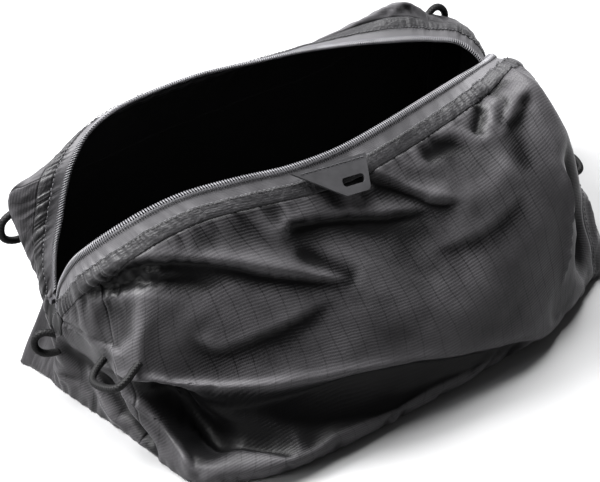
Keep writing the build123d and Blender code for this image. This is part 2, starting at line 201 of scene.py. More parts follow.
# ---------- folds in the fabric
# Each fold runs through (section, share of the way down) points: kind, points, width, depth in mm.
FOLDS = [
    # the deep fold under the zip at the left, with the slack lip above it
    ("lip", [(1.6, 0.15), (2.1, 0.145), (2.75, 0.155), (3.4, 0.165), (4.2, 0.20), (5.1, 0.26),
     (5.8, 0.30), (6.6, 0.36), (7.6, 0.43), (8.2, 0.45)], 6.5, 5.5),
    ("valley", [(2.3, 0.20), (2.9, 0.21), (3.94, 0.26), (4.9, 0.32), (5.6, 0.36)], 5, 2.6),
    ("sharp", [(1.7, 0.24), (2.6, 0.23), (3.7, 0.30), (4.6, 0.36)], 7, 1.6),
    # tension folds that run from the tab's right corner and below it
    ("lip", [(9.0, 0.05), (9.25, 0.149), (9.69, 0.238), (10.19, 0.327), (10.69, 0.376)], 5.5, 4.2),
    ("lip", [(6.88, 0.238), (7.69, 0.238), (8.5, 0.257), (9.38, 0.307), (10.12, 0.347)], 6.5, 4.8),
    ("valley", [(7.0, 0.307), (7.44, 0.356), (7.81, 0.416), (8.0, 0.455)], 5, 3.0),
    ("ridge", [(8.88, 0.188), (8.62, 0.228), (8.5, 0.257)], 4, 1.6),
    # the pocket in the middle of the slope
    ("lip", [(4.55, 0.47), (4.7, 0.51), (4.95, 0.545), (5.4, 0.54), (6.0, 0.525), (6.8, 0.50),
     (7.6, 0.465)], 6.5, 2.4),
    # the short folds under the gathers at the right
    ("crease", [(12.06, 0.158), (12.56, 0.168), (12.88, 0.188)], 3.5, 2.5),
    ("crease", [(11.88, 0.188), (12.12, 0.158), (12.38, 0.158)], 3, 2.5),
    ("valley", [(11.56, 0.238), (11.81, 0.208), (12.06, 0.178)], 4, 3.5),
    ("crease", [(12.06, 0.267), (12.25, 0.228), (12.56, 0.208)], 3.5, 2.5),
    ("ridge", [(11.88, 0.257), (12.12, 0.208), (12.38, 0.188)], 3.5, 2.0),
    ("crease", [(12.25, 0.317), (12.56, 0.277), (12.81, 0.248)], 4, 2.5),
    ("valley", [(12.0, 0.436), (12.25, 0.337), (12.25, 0.238)], 7, 2.2),
    # the soft swell across the right half
    ("ridge", [(10.5, 0.317), (10.94, 0.376), (11.62, 0.376), (12.12, 0.347)], 10, 2.5),
    ("lip", [(9.5, 0.446), (10.31, 0.475), (11.25, 0.475), (11.88, 0.455)], 9, 2.0),
    ("valley", [(10.31, 0.208), (10.75, 0.208), (11.31, 0.228)], 5, 1.8),
    # the edge where the front turns into the right end, and the deep fold behind it
    ("sharp", [(12.6, 0.42), (12.62, 0.50), (12.62, 0.58), (12.5, 0.66), (12.35, 0.74),
     (12.2, 0.82)], 5, 5.0),
    ("valley", [(12.95, 0.42), (13.05, 0.52), (13.25, 0.60), (13.45, 0.68), (13.55, 0.75), (13.3, 0.82),
     (12.85, 0.88)], 10, 12.0),
    ("sharp", [(14.3, 0.62), (14.5, 0.72), (14.4, 0.82), (14.1, 0.90)], 5, 2.5),
    # pleats that fan out from the left zip end
    ("crease", [(0.4, 0.10), (1.1, 0.24), (2.0, 0.40), (3.0, 0.49)], 5, 1.6),
    ("sharp", [(0.9, 0.20), (1.6, 0.36), (2.4, 0.47), (3.1, 0.52)], 5, 1.8),
    ("valley", [(0.15, 0.30), (0.6, 0.50), (1.0, 0.62), (1.5, 0.72)], 6, 3.0),
    # the sharp edges and hollows that run from the front left loop to the corner
    ("valley", [(1.2, 0.64), (1.62, 0.77), (2.0, 0.86), (2.6, 0.94), (3.2, 0.98)], 4.5, 7.0),
    ("sharp", [(1.8, 0.68), (2.44, 0.77), (2.94, 0.84), (3.4, 0.89), (3.8, 0.93), (4.06, 0.97)], 3.5, 5.5),
    ("valley", [(2.6, 0.68), (3.3, 0.75), (3.88, 0.79), (4.4, 0.83), (5.0, 0.86)], 9, 7.0),
    ("sharp", [(0.9, 0.60), (1.25, 0.75), (1.6, 0.88), (2.1, 0.97)], 4, 4.0),
    ("lip", [(5.94, 0.901), (5.5, 0.881), (5.0, 0.871), (4.44, 0.861), (3.94, 0.812), (3.38, 0.762)], 5, 3.2),
]


def at_place(points, place):
    """The shell point at (section, share down)."""
    column = place[0] / len(SECTIONS) * COLUMNS
    row = place[1] * (points.shape[1] - 1)
    i, j = int(column) % COLUMNS, min(int(row), points.shape[1] - 2)
    f, g = column - int(column), row - int(row)
    k = (i + 1) % COLUMNS
    low = points[i, j] * (1 - f) + points[k, j] * f
    return low * (1 - g) + (points[i, j + 1] * (1 - f) + points[k, j + 1] * f) * g


PROFILES = {
    "valley": lambda x: -np.exp(-(x**2)),
    "ridge": lambda x: np.exp(-(x**2)),
    "sharp": lambda x: np.exp(-np.abs(x) * 1.3),
    "crease": lambda x: -np.exp(-np.abs(x) * 1.3),
    # a lip on the side to the left of the fold's direction, a sharp drop on the other that fades out slowly
    "lip": lambda x: 0.35 * (1 + np.tanh(x / 0.3)) * np.exp(-np.abs(x) / 1.6)
    - 0.5 * (1 - np.tanh(x / 0.3)) * np.exp(-np.abs(x) / 2.4),
}


def fold_shell(points, normals, folds):
    """Moves the shell along its normals by every fold, each fading out at its ends."""
    push = np.zeros(points.shape[:2])
    flat = points.reshape(-1, 3)
    for kind, places, width, depth in folds:
        spine = np.array([at_place(points, p) for p in places])
        spine = catmull(spine, 14 * len(spine))
        tangent = np.gradient(spine, axis=0)
        tangent /= np.linalg.norm(tangent, axis=1, keepdims=True)
        to_spine = np.linalg.norm(flat[:, None] - spine[None, ::7], axis=2)
        near = np.where(np.min(to_spine, axis=1) < 6 * width + 12)[0]
        gap = flat[near][:, None] - spine[None]
        distance = np.linalg.norm(gap, axis=2)
        best = np.argmin(distance, axis=1)
        away = gap[np.arange(len(near)), best]
        side = np.einsum("ij,ij->i", np.cross(tangent[best], away), normals.reshape(-1, 3)[near])
        x = np.sign(side) * distance[np.arange(len(near)), best] / width
        share = best / (len(spine) - 1)
        fade = np.clip(np.minimum(share, 1 - share) * 4, 0, 1)
        fade = fade * fade * (3 - 2 * fade)
        push.reshape(-1)[near] += depth * fade * PROFILES[kind](x)
    return points + normals * push[:, :, None], push


# ---------- gathers on the elastic
def round_noise(t, knots, rng):
    """Smooth noise of size 1 that repeats when t goes from 0 to 1."""
    values = rng.uniform(-1, 1, knots)
    x = (t % 1) * knots
    i = np.floor(x).astype(int)
    f = x - i
    a, b, c, d = (values[(i + k) % knots] for k in (-1, 0, 1, 2))
    return 0.5 * (2 * b + (c - a) * f + (2 * a - 5 * b + 4 * c - d) * f**2 + (3 * b - a - 3 * c + d) * f**3)


# how strong the gathers are at each section round the zip
PULL = ((0, 1.3), (1.5, 1.0), (3.5, 0.6), (8, 0.45), (10.5, 0.7), (12, 1.3), (15, 1.7), (17, 1.0),
 (18.5, 0.5), (22, 0.3), (29, 0.35), (33, 0.6), (34, 1.2))
COARSE, FINE = 74, 157  # gathers and puckers all round the zip
GATHER_SEED = 23


def gather_waves(share):
    """The coarse gathers and the fine puckers at a share of the way round the zip, each from 0 to 1."""
    rng = np.random.default_rng(GATHER_SEED)
    pull = np.interp((share % 1) * len(SECTIONS), [p[0] for p in PULL], [p[1] for p in PULL])
    big = np.cos(2 * np.pi * (COARSE * share + 0.9 * round_noise(share, 48, rng)))
    small = np.cos(2 * np.pi * (FINE * share + 1.1 * round_noise(share, 90, rng)))
    size = 1 + 0.6 * round_noise(share, 64, rng)
    reach = 13 + 9 * round_noise(share, 70, rng)
    return pull * size * (0.5 + 0.5 * big) ** 1.4, pull * (0.5 + 0.5 * small) ** 1.3, reach


def gather_push(share, down):
    """How far gathers lift the fabric at a distance down from the zip's edge."""
    big, small, reach = gather_waves(share)
    below = np.clip(down - CASING_MM, 0, None)
    rise = np.clip(down / TAPE_MM, 0, 1) ** 2
    return rise * (1.15 * big * np.exp(-below / reach) + 0.3 * small * np.exp(-below / 6))


def soft_lumps(along, down, size, seed):
    """Low lumps over the whole fabric, of size 1, that close up round the bag."""
    local = np.random.default_rng(seed)
    girth = along.max() * (1 + 1 / COLUMNS)
    out = np.zeros(along.shape)
    for _ in range(16):
        turn = local.uniform(0, np.pi)
        length = size * local.uniform(0.7, 1.6)
        k = round(girth * math.cos(turn) / length)
        out += np.cos(2 * np.pi * (k * along / girth + down * math.sin(turn) / length) + local.uniform(0, 7))
    return out / 4


# the line where the bulging front turns under: section, share of the way down, depth of the hollow below
TUCK = (
    (1.4, 0.60, 0.0), (2.3, 0.585, 3.0), (2.8, 0.60, 10.0), (3.2, 0.605, 16.0), (3.6, 0.612, 19.0),
     (4.2, 0.644, 19.0), (4.9, 0.673, 17.0),
    (5.5, 0.683, 15.0), (6.1, 0.685, 13.0), (7.2, 0.697, 11.0), (8.6, 0.735, 9.0), (9.75, 0.792, 7.0),
     (10.8, 0.855, 4.0),
    (11.5, 0.905, 0.0),
)


def tuck_under(points, normals):
    """Draws the fabric in below the line where the front turns under, with a crisp edge on that line."""
    section = np.arange(COLUMNS) / PER_SECTION
    line, depth = (np.interp(section, [t[0] for t in TUCK], [t[k] for t in TUCK]) for k in (1, 2))
    depth = np.where((section < TUCK[0][0]) | (section > TUCK[-1][0]), 0, depth)
    share = np.arange(points.shape[1])[None] / (points.shape[1] - 1)
    t = (share - line[:, None]) / (1 - line[:, None])
    fall = np.clip(t / 0.16, 0, 1)
    rise = np.clip((0.97 - t) / 0.6, 0, 1)
    hollow = fall * fall * (3 - 2 * fall) * rise * rise * (3 - 2 * rise)
    crest = np.exp(-((t / 0.05) ** 2)) * 0.12
    push = depth[:, None] * (crest - hollow)
    return points + normals * push[:, :, None], push


# ---------- the folded shell
PER_SECTION = COLUMNS // len(SECTIONS)
base, DOWN, ALONG = build_grid()
base, tucked = tuck_under(base, grid_normals(base))
base, folded = fold_shell(base, grid_normals(base), FOLDS)
# painted shade: the cloth is painted darker where it lies deep in a fold and under the gathers of the front,
# where shade falls: 0 to about 1
FULL_HOLLOW, UNDER_CASING = 8.0, 15.0  # a fold this deep counts in full; how far the gathers' shade reaches
HOLLOW_SHADE = np.clip(-(tucked + folded) / FULL_HOLLOW, 0, 1)
# painted shade just under the front gathers, strongest from section 2 to section 8
gathered = np.interp(np.arange(COLUMNS) / PER_SECTION, (0.5, 2.0, 8.0, 10.0), (0, 0.5, 0.5, 0))
HOLLOW_SHADE = HOLLOW_SHADE + gathered[:, None] * np.exp(-((np.clip(DOWN - CASING_MM, 0, None) / UNDER_CASING) ** 2))
SHARE = np.repeat((np.arange(COLUMNS) / COLUMNS)[:, None], base.shape[1], axis=1)
free = np.clip((DOWN - CASING_MM) / 25, 0, 1) * np.clip((DOWN[:, -1:] - DOWN) / 18, 0, 1)
lumps = 0.7 * soft_lumps(ALONG, DOWN, 62, 3) + 0.15 * soft_lumps(ALONG, DOWN, 21, 5)
base = base + grid_normals(base) * (free * lumps)[:, :, None]


def slacken(points):
    """Lets the fabric buckle: a short cloth run with a little spare cloth, held at the zip and the floor."""
    step = 2
    coarse = points[::step, ::step]
    nu, nv = coarse.shape[:2]
    mesh = bpy.data.meshes.new("slack")
    mesh.from_pydata((coarse.reshape(-1, 3) * 0.01).tolist(), [], grid_faces(nu, nv, True).tolist())
    cloth_object = bpy.data.objects.new("slack", mesh)
    scene.collection.objects.link(cloth_object)
    hold = cloth_object.vertex_groups.new(name="hold")
    down, tall = DOWN[::step, ::step], DOWN[::step, -1:]
    weight = np.exp(-np.clip(down - CASING_MM, 0, None) / 7) + np.exp(-(tall - down) / 9)
    weight = np.clip(weight, HOLD_LOOSE, 1).reshape(-1)
    for i, w in enumerate(weight):
        hold.add([i], float(w), "REPLACE")
    cloth = cloth_object.modifiers.new("cloth", "CLOTH")
    s = cloth.settings
    s.quality, s.mass, s.air_damping = 6, 0.15, 2.0
    s.tension_stiffness = s.compression_stiffness = 30
    s.shear_stiffness, s.bending_stiffness = 8, 2.5
    s.shrink_min = -SPARE_CLOTH
    s.vertex_group_mass = "hold"
    s.pin_stiffness = 0.6
    s.effector_weights.gravity = 0.0
    s.use_pressure, s.uniform_pressure_force = True, 0.4
    cloth.collision_settings.use_collision = False
    cloth.point_cache.frame_start, cloth.point_cache.frame_end = 1, CLOTH_FRAMES
    for number in range(1, CLOTH_FRAMES + 1):
        scene.frame_set(number)
    evaluated = cloth_object.evaluated_get(bpy.context.evaluated_depsgraph_get())
    moved = np.zeros(nu * nv * 3)
    evaluated.data.vertices.foreach_get("co", moved)
    moved = moved.reshape(nu, nv, 3) * 100
    scene.frame_set(1)
    bpy.data.objects.remove(cloth_object)
    shift = moved - coarse
    length = np.linalg.norm(shift, axis=2, keepdims=True)
    shift *= CLOTH_CAP * np.tanh(length / CLOTH_CAP) / (length + 1e-9)
    wide = catmull(shift, points.shape[0], closed=True)
    tall_count = points.shape[1]
    rows = np.arange(tall_count) / step
    low = np.minimum(rows.astype(int), nv - 1)
    high = np.minimum(low + 1, nv - 1)
    part = (rows - low)[None, :, None]
    return points + wide[:, low] * (1 - part) + wide[:, high] * part


SPARE_CLOTH, HOLD_LOOSE, CLOTH_FRAMES, CLOTH_CAP = 0.022, 0.03, 20, 3.0


def grid_faces(nu, nv, closed=False, flip=False):
    """Quads over a grid of nu columns and nv rows."""
    i = np.arange(nu if closed else nu - 1)[:, None]
    j = np.arange(nv - 1)[None]
    k = (i + 1) % nu
    quads = np.stack([i * nv + j, k * nv + j, k * nv + j + 1, i * nv + j + 1], axis=-1).reshape(-1, 4)
    return quads[:, ::-1] if flip else quads


base = slacken(base)

NORMAL = grid_normals(base)
shell = base + NORMAL * gather_push(SHARE, DOWN)[:, :, None]


# ---------- room for the pieces on the fabric
TAB_ORIGIN = np.array((-47.7, -37.74, 141.17))
TAB_X = np.array((0.9899, -0.102, -0.1))
TAB_OUT = np.array((0, -0.7, 0.714))
TAB_Y = np.cross(TAB_OUT, TAB_X)


def clear_tab(points):
    """Presses the fabric to just below the hang tab."""
    local = points - TAB_ORIGIN
    x, y, h = local @ TAB_X, local @ TAB_Y, local @ TAB_OUT
    away = np.maximum(np.maximum(-3 - x, x - 52), np.maximum(-23 - y, y - 2.0))
    near = np.clip(1 - away / 5, 0, 1)
    over = np.clip(h + 0.5, 0, None) * near * (np.abs(h) < 14)
    return points - TAB_OUT * over[..., None]


shell = clear_tab(shell)
FLOOR_GAP = 0.35  # the fabric stays this far above the floor
shell[..., 2] = np.maximum(shell[..., 2], FLOOR_GAP)
NORMAL = grid_normals(shell)


# ---------- making meshes
def mesh_object(name, points, faces, uv=None, materials=(), picks=None, body="bag", marks=None, smooth=None):
    """A smooth mesh from points in millimetres, riding on a body."""
    points = np.asarray(points, float).reshape(-1, 3)
    mesh = bpy.data.meshes.new(name)
    sizes = np.array([len(f) for f in faces])
    mixed = sizes.min() != sizes.max()
    loops = np.concatenate([np.asarray(f) for f in faces]) if mixed else np.asarray(faces).reshape(-1)
    mesh.vertices.add(len(points))
    mesh.vertices.foreach_set("co", (points * MM).reshape(-1))
    mesh.loops.add(len(loops))
    mesh.loops.foreach_set("vertex_index", loops.astype(np.int32))
    mesh.polygons.add(len(sizes))
    mesh.polygons.foreach_set("loop_start", np.concatenate([[0], np.cumsum(sizes)[:-1]]).astype(np.int32))
    mesh.polygons.foreach_set("loop_total", sizes.astype(np.int32))
    mesh.polygons.foreach_set("use_smooth", np.ones(len(sizes), bool) if smooth is None else smooth)
    if picks is not None:
        mesh.polygons.foreach_set("material_index", np.asarray(picks, np.int32))
    if uv is not None:
        layer = mesh.uv_layers.new(name="cloth")
        layer.data.foreach_set("uv", (np.asarray(uv, float).reshape(-1, 2)[loops] * MM).reshape(-1))
    mesh.update()
    mesh.validate()
    if marks is not None:
        # the stored mark: worn ridges lighter, painted shade in dips and hollows
        layer = mesh.attributes.new("wear_and_shade", "FLOAT", "POINT")
        layer.data.foreach_set("value", np.asarray(marks, np.float32).reshape(-1))
    for material in materials:
        mesh.materials.append(material)
    obj = bpy.data.objects.new(name, mesh)
    scene.collection.objects.link(obj)
    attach(obj, body)
    return obj


def thin_sheet(name, outer, normal, thick, uv, materials, wear_and_shade=None, closed=False):
    """A closed thin piece: an outer grid, its inner side pulled in by thick, and the edges between."""
    nu, nv = outer.shape[:2]
    inner = outer - normal * thick
    count = nu * nv
    quads = grid_faces(nu, nv, closed)
    rim = []
    columns = np.arange(nu if closed else nu - 1)
    k = (columns + 1) % nu
    for row, flip in ((0, False), (nv - 1, True)):
        a, b = columns * nv + row, k * nv + row
        side = np.stack([b, a, a + count, b + count], axis=1)
        rim.append(side[:, ::-1] if flip else side)
    if not closed:
        rows = np.arange(nv - 1)
        for column, flip in ((0, True), (nu - 1, False)):
            a, b = column * nv + rows, column * nv + rows + 1
            side = np.stack([b, a, a + count, b + count], axis=1)
            rim.append(side[:, ::-1] if flip else side)
    rim = np.concatenate(rim)
    faces = np.concatenate([quads, quads[:, ::-1] + count, rim])
    picks = np.concatenate([np.zeros(len(quads)), np.ones(len(quads)), np.zeros(len(rim))])
    marks = None if wear_and_shade is None else np.concatenate([wear_and_shade.reshape(-1), wear_and_shade.reshape(-1)])
    both = np.concatenate([outer.reshape(-1, 3), inner.reshape(-1, 3)])
    uv = np.concatenate([uv.reshape(-1, 2)] * 2)
    smooth = np.arange(len(faces)) < 2 * len(quads)
    return mesh_object(name, both, faces, uv, materials, picks, marks=marks, smooth=smooth)


# ---------- materials
def add_node(tree, kind, inputs=(), **settings):
    """Adds a shader node, sets its properties, and fills or links its numbered or named inputs."""
    node = tree.nodes.new(kind)
    for key, value in settings.items():
        setattr(node, key, value)
    for key, value in dict(inputs).items():
        if isinstance(value, bpy.types.NodeSocket):
            tree.links.new(value, node.inputs[key])
        else:
            node.inputs[key].default_value = value
    return node


def math_node(tree, operation, a, b=0.0, c=0.0):
    return add_node(tree, "ShaderNodeMath", {0: a, 1: b, 2: c}, operation=operation).outputs[0]


def new_material(name, rough, **shader):
    """A material with a Principled shader, and its tree and shader node."""
    material = bpy.data.materials.new(name)
    material.use_nodes = True
    tree = material.node_tree
    surface = tree.nodes["Principled BSDF"]
    surface.inputs["Roughness"].default_value = rough
    for key, value in shader.items():
        surface.inputs[key.replace("_", " ")].default_value = value
    return material, tree, surface


def stripes(tree, value, pitch, sharp=1.0):
    """Rounded stripes from 0 to 1 along a coordinate in metres, one per pitch in millimetres."""
    wave = math_node(tree, "SINE", math_node(tree, "MULTIPLY", value, 2 * math.pi / (pitch * MM)))
    wave = math_node(tree, "MULTIPLY_ADD", wave, 0.5, 0.5)
    return math_node(tree, "POWER", wave, sharp) if sharp != 1.0 else wave


def cloth_material(
    name, dark, light, rib, rib_across, grid, rough, sheen, bump_mm, wear_and_shade=0.0, gloss=0.5, crinkle=0.0
):
    """Woven cloth: ribs along it, a finer weave across, ripstop lines, tone that varies at random, worn folds
    painted lighter and painted shade in dips and hollows.
    """
    material, tree, surface = new_material(name, rough)
    surface.inputs["Sheen Weight"].default_value = sheen
    surface.inputs["Sheen Roughness"].default_value = 0.4
    surface.inputs["Specular IOR Level"].default_value = gloss
    surface.inputs["Sheen Tint"].default_value = (0.9, 0.9, 0.94, 1)
    place = add_node(tree, "ShaderNodeUVMap", uv_map="cloth").outputs[0]
    split = add_node(tree, "ShaderNodeSeparateXYZ", {0: place})
    u, v = split.outputs[0], split.outputs[1]

    def noise(scale, detail):
        texture = add_node(tree, "ShaderNodeTexNoise", {"Vector": place, "Scale": scale, "Detail": detail})
        return texture.outputs[0]

    def calc(operation, *values):
        return math_node(tree, operation, *values)

    shift = calc("MULTIPLY", calc("SUBTRACT", noise(60.0, 2.0), 0.5), 0.0025)
    grain, clouds = noise(900.0, 3.0), noise(26.0, 4.0)
    ribs = stripes(tree, calc("ADD", v, shift), rib, 1.5)
    across = stripes(tree, calc("ADD", u, shift), rib_across)
    height = calc("ADD", calc("MULTIPLY", ribs, 0.7), calc("MULTIPLY", across, 0.3))
    height = calc("MULTIPLY", height, calc("MULTIPLY_ADD", clouds, 1.6, -0.3))
    if grid:
        drift = calc("MULTIPLY_ADD", noise(11.0, 1.0), 0.03, shift)
        line = stripes(tree, calc("ADD", u, drift), grid, 60.0)
        broken = calc("MULTIPLY", line, calc("MULTIPLY_ADD", clouds, 1.5, -0.35))
        height = calc("SUBTRACT", height, calc("MULTIPLY", broken, 0.6))
    shade = calc("ADD", calc("MULTIPLY", height, 0.55), calc("MULTIPLY", clouds, 0.3))
    shade = calc("ADD", shade, calc("MULTIPLY", grain, 0.3))
    # the stored mark lightens worn ridges and darkens dips and hollows with painted shade
    if wear_and_shade:
        rubbed_and_shaded = add_node(tree, "ShaderNodeAttribute", attribute_name="wear_and_shade").outputs["Fac"]
        shade = calc("ADD", shade, calc("MULTIPLY", rubbed_and_shaded, wear_and_shade))
    ramp = add_node(tree, "ShaderNodeValToRGB", {0: shade})
    low, high = ramp.color_ramp.elements
    low.color, high.color = (*dark, 1), (*light, 1)
    low.position, high.position = 0.1, 1.0
    tree.links.new(ramp.outputs[0], surface.inputs["Base Color"])
    tree.links.new(calc("MULTIPLY_ADD", clouds, 0.25, rough - 0.12), surface.inputs["Roughness"])
    folds = noise(260.0 if crinkle else 110.0, 3.0)
    depth = crinkle * MM if crinkle else 0.3 * MM
    large = add_node(tree, "ShaderNodeBump", {"Strength": 1.0, "Distance": depth, "Height": folds})
    fine = {"Strength": 1.0, "Distance": bump_mm * MM, "Height": height, "Normal": large.outputs[0]}
    tree.links.new(add_node(tree, "ShaderNodeBump", fine).outputs[0], surface.inputs["Normal"])
    return material


def moulded_material(name, dark, light, rough, grain_scale, bump_mm, **shader):
    """Moulded rubber, plastic or painted metal: fine grain, uneven gloss and faint marks."""
    material, tree, surface = new_material(name, rough, **shader)
    place = add_node(tree, "ShaderNodeTexCoord").outputs["Object"]
    grain = add_node(tree, "ShaderNodeTexNoise", {"Vector": place, "Scale": grain_scale, "Detail": 4.0})
    clouds = add_node(tree, "ShaderNodeTexNoise", {"Vector": place, "Scale": grain_scale / 14, "Detail": 3.0})
    ramp = add_node(tree, "ShaderNodeValToRGB", {0: clouds.outputs[0]})
    ramp.color_ramp.elements[0].color = (*dark, 1)
    ramp.color_ramp.elements[1].color = (*light, 1)
    ramp.color_ramp.elements[0].position, ramp.color_ramp.elements[1].position = 0.3, 0.75
    tree.links.new(ramp.outputs[0], surface.inputs["Base Color"])
    rougher = math_node(tree, "MULTIPLY_ADD", clouds.outputs[0], 0.25, rough - 0.12)
    tree.links.new(rougher, surface.inputs["Roughness"])
    relief = {"Strength": 0.8, "Distance": bump_mm * MM, "Height": grain.outputs[0]}
    bump = add_node(tree, "ShaderNodeBump", relief)
    tree.links.new(bump.outputs[0], surface.inputs["Normal"])
    return material


def grey(value, warm=0.0):
    return (value * (1 + warm), value * 0.985, value * (1 - warm) * 1.07)


# each cloth's mark strength sets how strongly worn ridges lighten it and how strongly painted shade darkens
# its dips and hollows
front_cloth = cloth_material(
    "front_fabric", grey(0.003), grey(0.06, 0.02), 1.75, 0.8, 8.6, 0.42, 0.05, 0.11, wear_and_shade=0.36, gloss=0.09
)
shell_cloth = cloth_material(
    "shell_fabric", grey(0.01), grey(0.078, 0.02), 0.9, 0.9, 0, 0.5, 0.1, 0.05, wear_and_shade=0.25, gloss=0.12
)
lining = cloth_material("lining", grey(0.003), grey(0.012), 0.8, 0.8, 0, 0.6, 0.03, 0.04, gloss=0.2)
tape_cloth = cloth_material(
    "zip_tape", grey(0.028), grey(0.075, 0.02), 0.9, 1.3, 0, 0.6, 0.15, 0.06, gloss=0.3
)
casing_cloth = cloth_material(
    "casing_fabric", grey(0.001), grey(0.034, 0.01), 1.5, 0.9, 0, 0.5, 0.08, 0.1,
    wear_and_shade=0.6, gloss=0.2, crinkle=1.0
)
elastic_cloth = cloth_material("elastic", grey(0.008), grey(0.03), 1.0, 0.5, 0, 0.7, 0.1, 0.12, gloss=0.2)
garage_cloth = cloth_material(
    "zip_cover_fabric", grey(0.002), grey(0.008), 0.9, 0.9, 0, 0.6, 0.03, 0.06, gloss=0.2
)
cord_cloth = cloth_material("cord", grey(0.0005), grey(0.007), 1.1, 1.1, 0, 0.6, 0.02, 0.06, gloss=0.15)
thread = moulded_material("thread", grey(0.02), grey(0.07), 0.6, 3000, 0.05)
coil_plastic = moulded_material("zip_coil", grey(0.05), grey(0.1), 0.4, 900, 0.03)
dark_metal = moulded_material("dark_metal", grey(0.05), grey(0.11), 0.32, 700, 0.02, Metallic=1.0)
tab_rubber = moulded_material("tab_rubber", grey(0.022), grey(0.032), 0.6, 2600, 0.08, Specular_IOR_Level=0.3)

# ---------- the sewn panels
CASING_ROW = TAPE_ROWS + CASING_ROWS - 2  # the row at the casing's lower edge
SEAM_ROW = CASING_ROW + 16  # between the back panel and the top gusset
UV = np.stack([ALONG, DOWN], axis=2)


def bend_of(points):
    """How far the fabric stands out of its surroundings, less the painted shade of its hollows: about -2 to
    1. The cloth is painted lighter where it stands out, as worn, and darker where it sinks in, as painted
    shade.
    """
    wide = points.copy()
    for _ in range(10):
        wide = 0.25 * (np.roll(wide, 2, 0) + np.roll(wide, -2, 0)) + 0.25 * (
            np.concatenate([wide[:, 2:], wide[:, -1:], wide[:, -1:]], 1)
            + np.concatenate([wide[:, :1], wide[:, :1], wide[:, :-2]], 1)
        )
    out = np.sum((points - wide) * NORMAL, axis=2)
    return np.clip(out / 2.0, -1, 1) - 1.3 * HOLLOW_SHADE


# worn ridges are painted lighter; dips and deep folds are painted darker as shade
WEAR_AND_SHADE = bend_of(shell)


def panel(name, first, last, top, bottom, material, thick=0.6):
    """One sewn panel, from section first to section last, between two rows."""
    columns = np.arange(round(first * PER_SECTION), round(last * PER_SECTION) + 1)
    rows = slice(top, bottom + 1)
    wrap = columns % COLUMNS
    uv = UV[wrap][:, rows].copy()
    uv[columns >= COLUMNS, :, 0] += ALONG.max() + ALONG[1, 0]
    piece = thin_sheet(
        name, shell[wrap][:, rows], NORMAL[wrap][:, rows], thick, uv, (material, lining), WEAR_AND_SHADE[wrap][:, rows]
    )
    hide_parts(name)
    return piece


LAST_ROW, WHOLE_TURN = shell.shape[1] - 1, len(SECTIONS)
LEFT_SEAM, RIGHT_SEAM, REAR_RIGHT, REAR_LEFT = 2.5, 14.0, 21.0, 30.0
panels = {
    "front_panel": panel("front_panel", LEFT_SEAM, RIGHT_SEAM, CASING_ROW, LAST_ROW, front_cloth),
    "right_end_panel": panel("right_end_panel", RIGHT_SEAM, REAR_RIGHT, CASING_ROW, LAST_ROW, front_cloth),
    "top_back_panel": panel("top_back_panel", REAR_RIGHT, REAR_LEFT, CASING_ROW, SEAM_ROW, shell_cloth),
    "back_panel": panel("back_panel", REAR_RIGHT, REAR_LEFT, SEAM_ROW, LAST_ROW, shell_cloth),
    "left_end_panel": panel(
        "left_end_panel", REAR_LEFT, WHOLE_TURN + LEFT_SEAM, CASING_ROW, LAST_ROW, front_cloth
    ),
}
for name, piece in panels.items():
    piece.name = piece.data.name = name + "_cloth"

# the base, from the foot of the panels in to a line along the middle
BASE_ROWS = 14
foot = shell[:, -1]
spine = np.stack([np.clip(foot[:, 0], -70, 90), np.full(COLUMNS, -12.0), np.full(COLUMNS, 0.9)], axis=1)
steps = np.linspace(0, 1, BASE_ROWS)[None, :, None]
floor_grid = foot[:, None] * (1 - steps) + spine[:, None] * steps
bulge = (1 + soft_lumps(ALONG[:, :BASE_ROWS], DOWN[:, :BASE_ROWS], 60, 9)) / 2
floor_grid[..., 2] = FLOOR_GAP + FLOOR_GAP * np.sin(steps[..., 0] * np.pi) * bulge
floor_uv = floor_grid[..., :2]
floor_normal = np.zeros_like(floor_grid)
floor_normal[..., 2] = -1
base_piece = thin_sheet(
    "base_panel_cloth", floor_grid, floor_normal, 0.6, floor_uv, (shell_cloth, lining), closed=True
)
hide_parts("base_panel")

# ---------- the band along the zip, sampled more finely
FINER = 5
near = base[:, : CASING_ROW + 1]
band_share = np.repeat((np.arange(COLUMNS * FINER) / (COLUMNS * FINER))[:, None], CASING_ROW + 1, axis=1)
band = catmull(near, COLUMNS * FINER, closed=True)
band_down = np.repeat(DOWN[:1, : CASING_ROW + 1], COLUMNS * FINER, axis=0)
rim_step = np.linalg.norm(np.roll(band[:, 0], -1, axis=0) - band[:, 0], axis=1)
band_along = np.repeat(np.concatenate([[0], np.cumsum(rim_step)[:-1]])[:, None], CASING_ROW + 1, axis=1)
band_normal = catmull(NORMAL[:, : CASING_ROW + 1], COLUMNS * FINER, closed=True)
band_normal /= np.linalg.norm(band_normal, axis=2, keepdims=True)
band = band + band_normal * gather_push(band_share, band_down)[..., None]
band = clear_tab(band)
FRONT_SIDE = (0.14, LAST_FRONT - 0.14)
BACK_SIDE = (LAST_FRONT + 0.14, len(SECTIONS) - 0.14)


def side_columns(span):
    return np.arange(round(span[0] * PER_SECTION * FINER), round(span[1] * PER_SECTION * FINER) + 1)


def band_strip(name, span, top, bottom, lift, thick, materials, nodes):
    """A strip along the zip between two rows, lifted by a profile across and along it."""
    columns, rows = side_columns(span), slice(top, bottom + 1)
    points = band[columns][:, rows] + band_normal[columns][:, rows] * lift(columns, rows)[..., None]
    uv = np.stack([band_along, band_down], axis=2)[columns][:, rows]
    # painted shade: the casing is darker at its sewn-down edges and between its puckers, and lighter on its
    # raised crown
    rubbed_and_shaded = lift(columns, rows) * 0.3
    strip = thin_sheet(name, points, band_normal[columns][:, rows], thick, uv, materials, rubbed_and_shaded)
    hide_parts(*nodes)
    return strip


